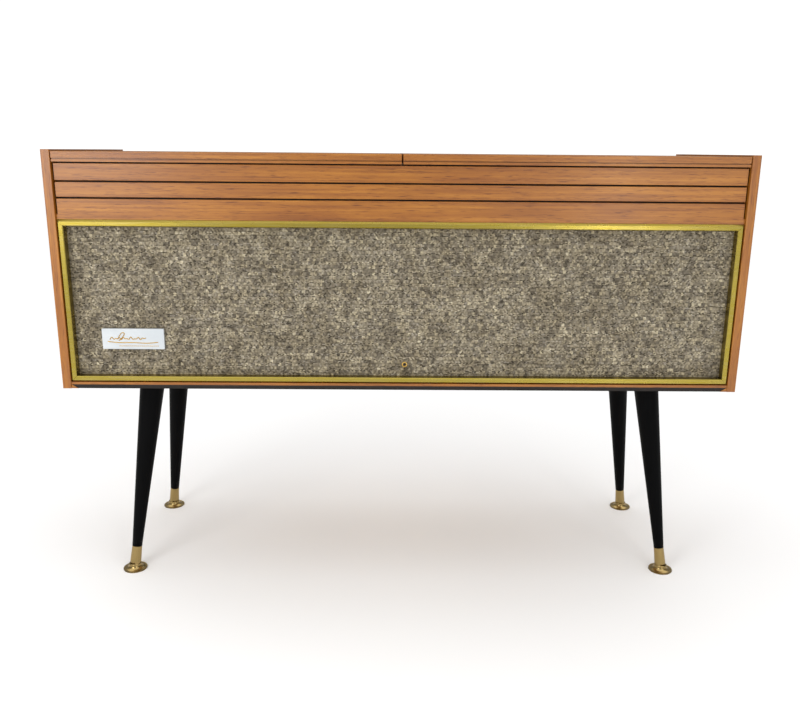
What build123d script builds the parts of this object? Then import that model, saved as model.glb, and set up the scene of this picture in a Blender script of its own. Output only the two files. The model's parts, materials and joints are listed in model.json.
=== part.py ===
from build123d import *
from math import atan2, cos, degrees, hypot, radians, sin
import os

# Radio phonograph console. Millimetres, +Z up, the front faces -Y.
# The origin is on the floor, at the middle of the console's length and depth.

# ---- Driving sizes -----------------------------------------------------------------------------------------
cabinet_width = 1220.0
cabinet_depth = 390.0
cabinet_height = 419.0
floor_gap = 383.0  # floor to the underside of the cabinet
panel = 15.0  # side panels and bottom board
edge_round = 0.8

lid_drop = 3.0  # the lids lie this far below the tops of the side panels
lid_band = 11.0  # front edge of a lid above its groove
lid_groove = 2.0
lid_lip = 4.0  # front edge of a lid below its groove
lid_groove_depth = 4.0
lid_side_gap = 2.0
lid_split_gap = 3.0
lid_rest_gap = 0.3

finger_gap = 2.5  # between the lids' lip and the top slat
slat_heights = (28.5, 25.0, 35.3)  # upper, middle, lower
slat_groove = 2.9
slat_recess = 5.0  # slats stand this far behind the side panels' front edges
slat_thickness = 12.0
slat_side_gap = 3.0
slat_shoulder = 9.5  # height of the lower slat's full-width foot
fascia_thickness = 12.0

trim_recess = 1.0
trim_width = 11.0
trim_outer_slope = 3.4
trim_inner_slope = 1.2
mitre_gap = 0.2
cloth_recess = 18.0
cloth_thickness = 1.0
bottom_rail_height = 12.0
bottom_rail_lip = 4.5
bottom_rail_recess = 2.0
bottom_rail_undercut = 1.0
corner_block_width = 12.0

badge_width, badge_height, badge_thickness = 111.0, 37.5, 6.0
badge_left, badge_bottom = 73.5, 71.0  # from the cabinet's left end and underside

back_recess = 5.0
back_thickness = 4.0
vent_length, vent_width = 70.0, 7.0
vent_pitch_x, vent_pitch_z = 95.0, 24.0
vent_columns, vent_rows = 11, 6
vent_middle = 0.55  # height of the vents' middle, as a share of the back's height
gland_x, gland_z = 90.0, 45.0  # from the left side panel and from the bottom board
gland_bore_radius, gland_radius, gland_flange_radius = 4.0, 9.0, 12.5
gland_flange_thickness = 4.0
screw_inset = 13.0
screw_head_radius, screw_head_height = 3.5, 1.6
rear_rail_depth = 38.0
partition_thickness = 12.0

knuckle_radius = 2.8
hinge_pin_radius = 1.2
hinge_clearance = 0.05
leaf_thickness = 1.0
leaf_height = 12.0
hinge_gap = 3.0
hinge_length = 540.0
hinge_knuckles = 9
knuckle_end_gap = 0.3
lid_relief = 0.5  # round the knuckles, in the lid's back edge
rail_relief = 1.2  # round the knuckles, in the rail's front edge, so that the lid's corner passes
knuckle_web_drop = 1.9  # a leaf meets its own knuckles this far below the pin
leaf_relief = 0.4  # between a leaf and the other leaf's knuckles

stay_radius = 95.0
stay_width = 10.0
stay_thickness = 2.0
stay_clearance = 0.5
bracket_slot_gap = 0.8
stay_bracket_angle = 18.0  # below the closed lid, about the hinge
stay_sweep = 94.0
stay_start = 188.0  # the stay's upper end, about the hinge
stay_side_gap = 1.5
stay_foot_width, stay_foot_thickness = 12.0, 2.0
stay_foot_front, stay_foot_back = 12.0, 14.0  # from the middle of the stay
bracket_length, bracket_height, bracket_front = 17.0, 11.0, 3.5

leg_top_x, leg_top_y = 474.0, 101.0
leg_splay = 48.0  # sideways run of a leg along X and along Y, from the cabinet to the floor
leg_top_radius = 24.5
leg_tip_radius = 9.4
leg_tenon_radius = 8.2
leg_plate_size = 90.0
leg_plate_thickness = 2.5
ferrule_length = 35.0
ferrule_radius = 10.8
ferrule_wall_fit = 0.05
foot_radius = 22.6
foot_height = 11.5
foot_neck_radius = 11.6
foot_edge = 2.0  # height of the foot's upright rim
foot_hollow_radius, foot_hollow_height = 0.62, 0.38  # the bell's waist, as shares of its radius and height
ferrule_overlap = 4.0
leg_plate_round = 6.0

deck_drop = 125.0  # from the lids' underside to the top of the motor board
board_thickness = 12.0
plate_width, plate_depth, plate_thickness = 380.0, 310.0, 3.0
plate_centre_x, plate_centre_y = 310.0, 15.0
platter_radius = 135.0
platter_height = 12.0
platter_skin = 4.0
platter_rim = 9.0
platter_lift = 4.0
mat_thickness = 3.0
spindle_radius = 3.6
bearing_radius = 6.0
running_fit = 0.05
drive_gap = 0.3
idler_radius, idler_thickness = 16.0, 5.0
pulley_radius = 4.0
motor_radius, motor_height = 34.0, 46.0
tonearm_length = 230.0
tonearm_tube_radius = 4.5
tonearm_height = 40.0  # arm's centre line above the player plate
record_arm_length = 190.0
record_arm_height = 100.0
record_arm_width, record_arm_thickness = 14.0, 6.0
record_post_radius = 5.0
base_radius, base_height, pillar_radius = 20.0, 16.0, 12.0  # of the tonearm's base
yoke_pin_radius = 3.0
counterweight_radius, counterweight_length = 12.5, 26.0
head_length, head_width, head_thickness = 48.0, 17.0, 6.5
motor_hole_gap = 8.0
motor_floor = 6.0
speed_shaft_radius, speed_disc_radius = 3.0, 17.0
speed_bar_length, speed_bar_width = 32.0, 7.0
speed_bar_low, speed_bar_high = 6.0, 16.0  # above the player plate
control_lift = 1.0  # knobs and levers stand this far above the plate
control_round = 1.5
platter_hub_radius, platter_round, mat_inset = 14.0, 2.5, 5.0
plate_round = 18.0
yoke_drop, yoke_top = 13.5, 6.0  # from the arm's centre line to the yoke's underside and to its top
yoke_length, yoke_cheek_length, yoke_floor = 18.0, 12.0, 3.0
yoke_pin_length, yoke_socket_depth = 9.5, 11.0
pillar_drop = 14.0  # from the arm's centre line to the top of the pillar
arm_tail, arm_tail_end = 40.0, 56.0  # behind the pivot: where the tube ends, and where the counterweight ends
arm_tube_length = 240.0
arm_pivot_boss_radius = 6.0
head_back, head_drop = 12.0, 1.0
cartridge_length, cartridge_width = 24.0, 13.0
stylus_back, stylus_radius, stylus_length = 4.0, 1.0, 3.0
rest_distance, rest_post_radius = 178.0, 4.0
rest_length, rest_width, rest_lip, rest_lip_height = 8.0, 15.0, 2.0, 7.0
record_button_radius, record_button_length, record_button_back = 5.0, 10.0, 14.0
lever_width, lever_length = 18.0, 10.0
lever_stem_width, lever_stem_length = 4.0, 8.0
mat_groove_first, mat_groove_pitch, mat_groove_width, mat_groove_depth, mat_grooves = 39.0, 12.0, 3.0, 1.0, 7

panel_drop = 97.0  # from the lids' underside to the top of the radio's control panel
dial_width, dial_height = 320.0, 60.0
dial_rebate = 5.0  # the glass and the scale plate reach this far past the window
dial_plate_thickness = 2.0
valve_radius, valve_height = 10.5, 46.0
valve_places = (-170.0, -125.0, -80.0, -20.0, 30.0)  # from the radio's middle
valve_row_y = 105.0
valve_round = 6.0
mains_transformer_x, mains_transformer_y, mains_transformer_height = (140.0, 215.0), (55.0, 120.0), 50.0
output_transformer_x, output_transformer_y, output_transformer_height = (70.0, 112.0), (84.0, 120.0), 36.0
transformer_chamfer = 3.0
key_gap, key_stand, key_skirt = 0.5, 3.0, 3.0
glass_gap = 0.2
pointer_half_width, pointer_carriage_half_width = 1.0, 6.0
knob_skirt, knob_skirt_height, knob_flutes, knob_flute_radius = 2.5, 4.0, 36, 0.8
chassis_width, chassis_height, chassis_wall = 460.0, 55.0, 1.5
chassis_y = (-80.0, 130.0)
chassis_drop = 58.0  # from the control panel's underside to the top of the tray
dial_glass_thickness = 4.0
knob_fit = 0.1
key_travel = 5.0
speaker_places = (250.0, 420.0)  # from the middle, on each side
speaker_hole_radius = 56.0
speaker_flange_radius, speaker_flange_thickness = 64.0, 3.0
speaker_cone_edge, speaker_dome_radius, speaker_dome_depth = 52.0, 18.0, 22.0
speaker_neck_radius, speaker_neck_depth = 28.0, 30.0
speaker_magnet_radius, speaker_depth = 32.0, 52.0

# ---- Places that follow from them --------------------------------------------------------------------------
half_width = cabinet_width / 2
inner = half_width - panel  # inner face of a side panel
front = -cabinet_depth / 2
rear = cabinet_depth / 2
base = floor_gap
top = floor_gap + cabinet_height
floor_top = base + panel
lid_top = top - lid_drop
lid_thickness = lid_band + lid_groove + lid_lip
lid_under = lid_top - lid_thickness
back_inside = rear - back_recess - back_thickness
rail_front = rear - back_recess - rear_rail_depth
lid_back = rail_front - hinge_gap
hinge_y = rail_front - hinge_gap / 2
hinge_z = lid_top - knuckle_radius
lid_length = inner - lid_side_gap - lid_split_gap / 2
lid_centre = lid_split_gap / 2 + lid_length / 2

slat_front = front + slat_recess
slat_back = slat_front + slat_thickness
slat_top = lid_under - finger_gap
grille_top = slat_top - sum(slat_heights) - 2 * slat_groove
grille_bottom = base + bottom_rail_height
cloth_front = front + cloth_recess
baffle_front = cloth_front + cloth_thickness
bay_front = slat_back + fascia_thickness
trim_front = front + trim_recess
bay_inner = partition_thickness / 2

deck_top = lid_under - deck_drop
plate_top = deck_top + plate_thickness
spindle_x = plate_centre_x - 40.0
spindle_y = plate_centre_y - 5.0
platter_bottom = plate_top + platter_lift
platter_top = platter_bottom + platter_height
mat_top = platter_top + mat_thickness
arm_x, arm_y = spindle_x + 185.0, spindle_y + 110.0
arm_z = plate_top + tonearm_height
arm_rest_turn = 257.0  # the stored arm's direction, from +X
panel_top = lid_under - panel_drop
panel_under = panel_top - board_thickness
radio_x = -(bay_inner + inner) / 2
controls_y = -40.0
dial_y = 70.0

pieces = {}


def slab(x, y, z, mode=Mode.ADD):
    """Adds a block that spans three (low, high) pairs to the open part."""
    with Locations(((x[0] + x[1]) / 2, (y[0] + y[1]) / 2, (z[0] + z[1]) / 2)):
        Box(x[1] - x[0], y[1] - y[0], z[1] - z[0], mode=mode)


def rod(x, y, z, radius, mode=Mode.ADD):
    """Adds an upright cylinder at x, y from z[0] to z[1]."""
    with Locations((x, y, z[0])):
        Cylinder(radius, z[1] - z[0], align=(Align.CENTER, Align.CENTER, Align.MIN), mode=mode)


# ---- Cabinet -----------------------------------------------------------------------------------------------
for name, side in (("side_panel_left", -1), ("side_panel_right", 1)):
    with BuildPart() as side_panel:
        slab(sorted((side * inner, side * half_width)), (front, rear), (base, top))
        fillet(side_panel.faces().sort_by(Axis.Y)[0].edges(), edge_round)
    pieces[name] = side_panel

with BuildPart() as bottom_board:
    slab((-inner, inner), (bay_front, back_inside + back_thickness), (base, floor_top))
pieces["bottom_board"] = bottom_board

rail_front_y = front + bottom_rail_recess
undercut_top = grille_bottom - bottom_rail_lip
# The rail's undercut stops short of the side panels in two mitred corners.
with BuildPart() as corner_stops:
    with BuildSketch(Plane.XZ.offset(-rail_front_y)):
        with BuildLine():
            Polyline(
                (inner, undercut_top),
                (inner, base),
                (inner - corner_block_width, base),
                close=True,
            )
        make_face()
    extrude(amount=-bottom_rail_undercut)
    with BuildSketch(Plane.YZ.offset(inner - corner_block_width)):
        with BuildLine():
            Polyline(
                (rail_front_y, undercut_top),
                (rail_front_y, base),
                (rail_front_y + bottom_rail_undercut, base),
                close=True,
            )
        make_face()
    extrude(amount=corner_block_width, mode=Mode.INTERSECT)
    mirror(about=Plane.YZ)
with BuildPart() as bottom_rail:
    with BuildSketch(Plane.YZ.offset(-inner)):
        with BuildLine():
            Polyline(
                (rail_front_y, grille_bottom),
                (rail_front_y, undercut_top),
                (rail_front_y + bottom_rail_undercut, base),
                (bay_front, base),
                (bay_front, grille_bottom),
                close=True,
            )
        make_face()
    extrude(amount=2 * inner)
    add(corner_stops.part)
pieces["bottom_rail"] = bottom_rail

with BuildPart() as back_panel:
    slab((-inner, inner), (back_inside, back_inside + back_thickness), (floor_top, lid_under))
    with BuildSketch(Plane.XZ.offset(-back_inside)):
        with Locations((0, floor_top + vent_middle * (lid_under - floor_top))):
            with GridLocations(vent_pitch_x, vent_pitch_z, vent_columns, vent_rows):
                SlotOverall(vent_length, vent_width)
    extrude(amount=-back_thickness, mode=Mode.SUBTRACT)
    with BuildSketch(Plane.XZ.offset(-back_inside)):
        with Locations((-inner + gland_x, floor_top + gland_z)):
            Circle(gland_radius)
    extrude(amount=-back_thickness, mode=Mode.SUBTRACT)
pieces["back_panel"] = back_panel

with BuildPart() as cord_gland:
    with BuildSketch(Plane.XZ.offset(-back_inside)):
        with Locations((-inner + gland_x, floor_top + gland_z)):
            Circle(gland_radius)
            Circle(gland_bore_radius, mode=Mode.SUBTRACT)
    extrude(amount=-back_thickness)
    with BuildSketch(Plane.XZ.offset(-(back_inside + back_thickness))):
        with Locations((-inner + gland_x, floor_top + gland_z)):
            Circle(gland_flange_radius)
            Circle(gland_bore_radius, mode=Mode.SUBTRACT)
    extrude(amount=-gland_flange_thickness)
    fillet(cord_gland.faces().sort_by(Axis.Y)[-1].edges(), 1.0)
pieces["cord_gland"] = cord_gland

with BuildPart() as back_screws:
    with BuildSketch(Plane.XZ.offset(-(back_inside + back_thickness))):
        with Locations((0, (floor_top + lid_under) / 2)):
            with GridLocations(2 * (inner - screw_inset), (lid_under - floor_top) / 2 - screw_inset, 2, 3):
                Circle(screw_head_radius)
            with GridLocations(0.4 * inner, lid_under - floor_top - 2 * screw_inset, 4, 2):
                Circle(screw_head_radius)
    extrude(amount=-screw_head_height)
    chamfer(back_screws.faces().filter_by(Axis.Y).group_by(Axis.Y)[-1].edges(), 0.6)
pieces["back_screws"] = back_screws

with BuildPart() as rear_top_rail:
    slab((-inner, inner), (rail_front, rail_front + rear_rail_depth), (lid_under, lid_top))
    with BuildSketch(Plane.YZ.offset(-inner)):
        with Locations((hinge_y, hinge_z)):
            Circle(knuckle_radius + rail_relief)
    extrude(amount=2 * inner, mode=Mode.SUBTRACT)
pieces["rear_top_rail"] = rear_top_rail

with BuildPart() as centre_partition:
    slab((-bay_inner, bay_inner), (bay_front, back_inside), (floor_top, lid_under - lid_rest_gap))
pieces["centre_partition"] = centre_partition

with BuildPart() as fascia_board:
    slab((-inner, inner), (slat_back, bay_front), (grille_top, lid_under - lid_rest_gap))
pieces["fascia_board"] = fascia_board

slat_z = slat_top
for name, height in zip(("slat_upper", "slat_middle", "slat_lower"), slat_heights):
    slat_half = inner - slat_side_gap
    with BuildPart() as slat:
        slab((-slat_half, slat_half), (slat_front, slat_back), (slat_z - height, slat_z))
        if name == "slat_lower":
            shoulder_top = slat_z - height + slat_shoulder
            slab((-inner, inner), (slat_front, slat_back), (slat_z - height, shoulder_top))
        fillet(slat.faces().sort_by(Axis.Y)[0].edges().filter_by(Axis.X), edge_round)
    pieces[name] = slat
    slat_z -= height + slat_groove

with BuildPart() as baffle_board:
    slab((-inner, inner), (baffle_front, bay_front), (grille_bottom, grille_top))
    speaker_z = (grille_bottom + grille_top) / 2
    with BuildSketch(Plane.XZ.offset(-baffle_front)):
        with Locations((0, speaker_z)):
            with Locations(*[(side * place, 0) for side in (-1, 1) for place in speaker_places]):
                Circle(speaker_hole_radius)
    extrude(amount=-(bay_front - baffle_front), mode=Mode.SUBTRACT)
pieces["baffle_board"] = baffle_board

with BuildPart() as grille_cloth:
    slab((-inner, inner), (cloth_front, baffle_front), (grille_bottom, grille_top))
pieces["grille_cloth"] = grille_cloth

with BuildPart() as speakers:
    for speaker_x in speaker_places:
        with BuildSketch(Plane((speaker_x, bay_front, speaker_z), x_dir=(1, 0, 0), z_dir=(0, 0, 1))):
            with BuildLine():
                Polyline(
                    (0, speaker_dome_depth),
                    (speaker_dome_radius, speaker_dome_depth),
                    (speaker_cone_edge, 0),
                    (speaker_flange_radius, 0),
                    (speaker_flange_radius, speaker_flange_thickness),
                    (speaker_hole_radius, speaker_flange_thickness),
                    (speaker_neck_radius, speaker_neck_depth),
                    (speaker_magnet_radius, speaker_neck_depth),
                    (speaker_magnet_radius, speaker_depth),
                    (0, speaker_depth),
                    close=True,
                )
            make_face()
        revolve(axis=Axis((speaker_x, 0, speaker_z), (0, 1, 0)))
    mirror(about=Plane.YZ)
pieces["speakers"] = speakers

# The four trim bars are trapezoids with mitred ends, laid in the grille opening.
with BuildPart() as grille_trim:
    trim_middle = (grille_bottom + grille_top) / 2
    half_high = (grille_top - grille_bottom) / 2
    with BuildSketch(Plane.XZ.offset(-cloth_front)):
        for run, across, turn in (
            (inner, half_high, 0),
            (half_high, inner, 90),
            (inner, half_high, 180),
            (half_high, inner, 270),
        ):
            points = [
                (-run + mitre_gap, across),
                (run - mitre_gap, across),
                (run - trim_width - mitre_gap, across - trim_width),
                (-run + trim_width + mitre_gap, across - trim_width),
            ]
            turn_cos, turn_sin = cos(radians(turn)), sin(radians(turn))
            turned = [(x * turn_cos - z * turn_sin, x * turn_sin + z * turn_cos) for x, z in points]
            with BuildLine():
                Polyline(*[(x, z + trim_middle) for x, z in turned], close=True)
            make_face()
    extrude(amount=cloth_front - trim_front)
    front_edges = grille_trim.faces().filter_by(Axis.Y).group_by(Axis.Y)[0].edges()
    outer_edges = front_edges.filter_by(
        lambda e: abs(abs(e.center().X) - inner) < 1 or abs(abs(e.center().Z - trim_middle) - half_high) < 1
    )
    chamfer(outer_edges, trim_outer_slope)
    inner_x, inner_z = inner - trim_width, half_high - trim_width
    inner_edges = grille_trim.edges().filter_by(
        lambda e: abs(e.center().Y - trim_front) < 0.01
        and (
            (abs(abs(e.center().X) - inner_x) < 1 and abs(e.center().Z - trim_middle) < 1)
            or (abs(abs(e.center().Z - trim_middle) - inner_z) < 1 and abs(e.center().X) < 1)
        )
    )
    chamfer(inner_edges, trim_inner_slope)
pieces["grille_trim"] = grille_trim

with BuildPart() as badge:
    badge_x = -half_width + badge_left
    badge_z = base + badge_bottom
    slab(
        (badge_x, badge_x + badge_width),
        (cloth_front - badge_thickness, cloth_front),
        (badge_z, badge_z + badge_height),
    )
    fillet(badge.edges().filter_by(Axis.Y), 1.5)
    fillet(badge.faces().sort_by(Axis.Y)[0].edges(), 0.8)
pieces["badge"] = badge

# ---- Lids, hinges and stays --------------------------------------------------------------------------------
for name, side in (("lid_left", -1), ("lid_right", 1)):
    with BuildPart() as lid:
        lid_x = sorted((side * lid_split_gap / 2, side * (inner - lid_side_gap)))
        slab(lid_x, (front, lid_back), (lid_under, lid_top))
        groove_z = (lid_under + lid_lip, lid_top - lid_band)
        slab(lid_x, (front, front + lid_groove_depth), groove_z, Mode.SUBTRACT)
        with BuildSketch(Plane.YZ.offset(lid_x[0])):
            with Locations((hinge_y, hinge_z)):
                Circle(knuckle_radius + lid_relief)
        extrude(amount=lid_length, mode=Mode.SUBTRACT)
        fillet(lid.edges().filter_by(Axis.X).group_by(Axis.Y)[0].sort_by(Axis.Z)[-1], edge_round)
    pieces[name] = lid


def hinge_leaf(centre, own, toward):
    """A piano hinge leaf on the lid (toward -1) or on the rail (toward 1), with every second knuckle."""
    pitch = hinge_length / hinge_knuckles
    face = sorted((hinge_y + toward * hinge_gap / 2, hinge_y + toward * (hinge_gap / 2 - leaf_thickness)))
    shoulder = hinge_z - knuckle_radius - leaf_relief
    with BuildPart() as leaf:
        slab((centre - hinge_length / 2, centre + hinge_length / 2), face, (hinge_z - leaf_height, shoulder))
        for number in range(own, hinge_knuckles, 2):
            start = centre - hinge_length / 2 + number * pitch + knuckle_end_gap / 2
            end = start + pitch - knuckle_end_gap
            slab((start, end), face, (shoulder, hinge_z - knuckle_web_drop))
            with BuildSketch(Plane.YZ.offset(start)):
                with Locations((hinge_y, hinge_z)):
                    Circle(knuckle_radius)
            extrude(amount=end - start)
        with BuildSketch(Plane.YZ.offset(centre - hinge_length / 2)):
            with Locations((hinge_y, hinge_z)):
                Circle(hinge_pin_radius + hinge_clearance)
        extrude(amount=hinge_length, mode=Mode.SUBTRACT)
    return leaf


pieces["hinge_leaf_left"] = hinge_leaf(-lid_centre, 1, -1)
pieces["hinge_leaf_right"] = hinge_leaf(lid_centre, 1, -1)
rail_leaf_left = hinge_leaf(-lid_centre, 0, 1)
rail_leaf_right = hinge_leaf(lid_centre, 0, 1)
with BuildPart() as hinge_rail_leaves:
    add(rail_leaf_left.part)
    add(rail_leaf_right.part)
pieces["hinge_rail_leaves"] = hinge_rail_leaves

with BuildPart() as hinge_pins:
    for side in (-1, 1):
        with BuildSketch(Plane.YZ.offset(side * lid_centre - hinge_length / 2)):
            with Locations((hinge_y, hinge_z)):
                Circle(hinge_pin_radius)
        extrude(amount=hinge_length)
pieces["hinge_pins"] = hinge_pins

stay_x = inner - lid_side_gap - stay_side_gap - stay_thickness  # inner face of the right-hand stay
for name, side in (("lid_stay_left", -1), ("lid_stay_right", 1)):
    stay_low = side * stay_x if side > 0 else side * stay_x - stay_thickness
    with BuildPart() as lid_stay:
        with BuildSketch(Plane.YZ.offset(stay_low)):
            with BuildLine():
                outside = CenterArc((hinge_y, hinge_z), stay_radius + stay_width / 2, stay_start, stay_sweep)
                inside = CenterArc((hinge_y, hinge_z), stay_radius - stay_width / 2, stay_start, stay_sweep)
                Line(outside @ 0, inside @ 0)
                Line(outside @ 1, inside @ 1)
            make_face()
        extrude(amount=stay_thickness)
        slab((-inner, inner), (front, hinge_y), (lid_under, top), Mode.SUBTRACT)
        stay_out = stay_x + stay_thickness
        stay_y = hinge_y - stay_radius
        slab(
            sorted((side * (stay_out - stay_foot_width), side * stay_out)),
            (stay_y - stay_foot_front, stay_y + stay_foot_back),
            (lid_under - stay_foot_thickness, lid_under),
        )
    pieces[name] = lid_stay

with BuildPart() as stay_brackets:
    bracket_y = hinge_y - stay_radius * cos(radians(stay_bracket_angle))
    bracket_z = hinge_z - stay_radius * sin(radians(stay_bracket_angle))
    bracket_plane = Plane(
        (inner, bracket_y, bracket_z),
        x_dir=(0, -cos(radians(stay_bracket_angle)), -sin(radians(stay_bracket_angle))),
        z_dir=(1, 0, 0),
    )
    with BuildSketch(bracket_plane):
        Rectangle(bracket_length, bracket_height)
    extrude(amount=-(inner - stay_x + bracket_front))
    with BuildSketch(bracket_plane.offset(stay_x + stay_thickness + stay_clearance - inner)):
        Rectangle(stay_width + 2 * bracket_slot_gap, bracket_height)
    extrude(amount=-(stay_thickness + 2 * stay_clearance), mode=Mode.SUBTRACT)
    mirror(about=Plane.YZ)
pieces["stay_brackets"] = stay_brackets

# ---- Legs --------------------------------------------------------------------------------------------------
leg_run = base  # height over which the splay is measured
leg_direction = Vector(-leg_splay, leg_splay, leg_run).normalized()  # up the front right leg
leg_foot = Vector(leg_top_x + leg_splay, -leg_top_y - leg_splay, 0)
leg_top_z = base - leg_plate_thickness
ferrule_start = foot_height / leg_direction.Z
ferrule_end = ferrule_start + ferrule_length
leg_end = (leg_top_z / leg_direction.Z) + leg_top_radius


def mirror_to_corners():
    """Copies the open part's front right piece to the other three corners."""
    mirror(about=Plane.YZ)
    mirror(about=Plane.XZ)


def along_leg(distance):
    """The plane across the front right leg, this far from the floor along its axis."""
    return Plane(leg_foot + leg_direction * distance, z_dir=leg_direction)


with BuildPart() as leg_plates:
    with BuildSketch(Plane.XY.offset(leg_top_z)):
        with Locations((leg_top_x, -leg_top_y)):
            RectangleRounded(leg_plate_size, leg_plate_size, leg_plate_round)
    extrude(amount=leg_plate_thickness)
    mirror_to_corners()
pieces["leg_plates"] = leg_plates

with BuildPart() as legs:
    with BuildSketch(along_leg(ferrule_end)):
        Circle(leg_tip_radius)
    with BuildSketch(along_leg(leg_end)):
        Circle(leg_top_radius)
    loft()
    with BuildSketch(along_leg(ferrule_start + ferrule_overlap)):
        Circle(leg_tenon_radius)
    extrude(amount=ferrule_length - ferrule_overlap)
    split(bisect_by=Plane.XY.offset(leg_top_z), keep=Keep.BOTTOM)
    mirror_to_corners()
pieces["legs"] = legs

with BuildPart() as ferrules:
    with BuildSketch(along_leg(ferrule_start - ferrule_overlap)):
        Circle(ferrule_radius)
    with BuildSketch(along_leg(ferrule_end)):
        Circle(leg_tip_radius)
    loft()
    with BuildSketch(along_leg(ferrule_start + ferrule_overlap)):
        Circle(leg_tenon_radius + ferrule_wall_fit)
    extrude(amount=ferrule_length, mode=Mode.SUBTRACT)
    split(bisect_by=Plane.XY.offset(foot_height), keep=Keep.TOP)
    mirror_to_corners()
pieces["ferrules"] = ferrules

with BuildPart() as feet:
    foot_x = leg_foot.X - leg_splay * foot_height / leg_run / 2
    foot_y = leg_foot.Y + leg_splay * foot_height / leg_run / 2
    with BuildSketch(Plane((foot_x, foot_y, 0), x_dir=(1, 0, 0), z_dir=(0, -1, 0))):
        with BuildLine():
            Polyline(
                (foot_neck_radius, foot_height),
                (0, foot_height),
                (0, 0),
                (foot_radius, 0),
                (foot_radius, foot_edge),
            )
            ThreePointArc(
                (foot_radius, foot_edge),
                (foot_radius * foot_hollow_radius, foot_height * foot_hollow_height),
                (foot_neck_radius, foot_height),
            )
        make_face()
    revolve(axis=Axis((foot_x, foot_y, 0), (0, 0, 1)))
    mirror_to_corners()
pieces["feet"] = feet

# ---- Record player -----------------------------------------------------------------------------------------
idler_reach = platter_radius - platter_rim - drive_gap - idler_radius
idler_turn = radians(150.0)
idler_x = spindle_x + idler_reach * cos(idler_turn)
idler_y = spindle_y + idler_reach * sin(idler_turn)
pulley_turn = radians(-30.0)
pulley_reach = idler_radius + drive_gap + pulley_radius
motor_x = idler_x + pulley_reach * cos(pulley_turn)
motor_y = idler_y + pulley_reach * sin(pulley_turn)
axle_radius = 2.0
motor_shaft_radius = 2.5
knob_x, knob_y = spindle_x + 200.0, spindle_y - 40.0
lever_x, lever_y = spindle_x + 200.0, spindle_y - 95.0
lever_travel = 12.0
record_arm_x, record_arm_y = spindle_x - 130.0, spindle_y + 135.0

with BuildPart() as motor_board:
    slab((bay_inner, inner), (bay_front, back_inside), (deck_top - board_thickness, deck_top))
    motor_hole_radius = motor_radius + motor_hole_gap
    rod(motor_x, motor_y, (deck_top - board_thickness, deck_top), motor_hole_radius, Mode.SUBTRACT)
    rod(knob_x, knob_y, (deck_top - board_thickness, deck_top), 8.0, Mode.SUBTRACT)
    slab(
        (lever_x - 5.0, lever_x + 5.0),
        (lever_y - 8.0, lever_y + lever_travel + 8.0),
        (deck_top - board_thickness, deck_top),
        Mode.SUBTRACT,
    )
pieces["motor_board"] = motor_board

with BuildPart() as player_plate:
    with BuildSketch(Plane.XY.offset(deck_top)):
        with Locations((plate_centre_x, plate_centre_y)):
            RectangleRounded(plate_width, plate_depth, plate_round)
    extrude(amount=plate_thickness)
    rod(idler_x, idler_y, (plate_top, platter_bottom + platter_height - platter_skin - 1.0), axle_radius)
    rod(motor_x, motor_y, (deck_top, plate_top), motor_shaft_radius + 3.0, Mode.SUBTRACT)
    rod(knob_x, knob_y, (deck_top, plate_top), speed_shaft_radius + knob_fit, Mode.SUBTRACT)
    slab(
        (lever_x - 2.5, lever_x + 2.5),
        (lever_y - 5.0, lever_y + lever_travel + 5.0),
        (deck_top, plate_top),
        Mode.SUBTRACT,
    )
    fillet(player_plate.faces().filter_by(Axis.Z).sort_by(SortBy.AREA)[-1].outer_wire().edges(), 1.0)
pieces["player_plate"] = player_plate

with BuildPart() as spindle:
    rod(spindle_x, spindle_y, (plate_top, platter_top - 1.0), bearing_radius)
    rod(spindle_x, spindle_y, (platter_top - 1.0, plate_top + record_arm_height - 8.0), spindle_radius)
    fillet(spindle.faces().sort_by(Axis.Z)[-1].edges(), 2.5)
pieces["spindle"] = spindle

with BuildPart() as platter:
    rod(spindle_x, spindle_y, (platter_bottom, platter_top), platter_radius)
    cavity_top = platter_top - platter_skin
    rod(spindle_x, spindle_y, (platter_bottom, cavity_top), platter_radius - platter_rim, Mode.SUBTRACT)
    rod(spindle_x, spindle_y, (platter_bottom, platter_top), platter_hub_radius)
    rod(spindle_x, spindle_y, (platter_bottom, platter_top), bearing_radius + running_fit, Mode.SUBTRACT)
    fillet(platter.faces().sort_by(Axis.Z)[-1].outer_wire().edges(), platter_round)
pieces["platter"] = platter

with BuildPart() as platter_mat:
    rod(spindle_x, spindle_y, (platter_top, mat_top), platter_radius - mat_inset)
    rod(spindle_x, spindle_y, (platter_top, mat_top), bearing_radius + 1.0, Mode.SUBTRACT)
    with BuildSketch(Plane.XY.offset(mat_top)):
        with Locations((spindle_x, spindle_y)):
            for ring in range(mat_grooves):
                Circle(mat_groove_first + mat_groove_width + mat_groove_pitch * ring)
                Circle(mat_groove_first + mat_groove_pitch * ring, mode=Mode.SUBTRACT)
    extrude(amount=-mat_groove_depth, mode=Mode.SUBTRACT)
pieces["platter_mat"] = platter_mat

idler_bottom = platter_bottom + 1.5
with BuildPart() as idler_wheel:
    idler_z = (idler_bottom, idler_bottom + idler_thickness)
    rod(idler_x, idler_y, idler_z, idler_radius)
    rod(idler_x, idler_y, idler_z, axle_radius + running_fit, Mode.SUBTRACT)
    fillet(idler_wheel.edges().group_by(SortBy.LENGTH)[-1], 0.8)
pieces["idler_wheel"] = idler_wheel

with BuildPart() as drive_motor:
    rod(motor_x, motor_y, (deck_top - motor_height, deck_top), motor_radius)
    bearing_z = (deck_top - motor_height + motor_floor, deck_top)
    rod(motor_x, motor_y, bearing_z, motor_shaft_radius + running_fit, Mode.SUBTRACT)
    fillet(drive_motor.faces().sort_by(Axis.Z)[0].outer_wire().edges(), 4.0)
pieces["drive_motor"] = drive_motor

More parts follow.
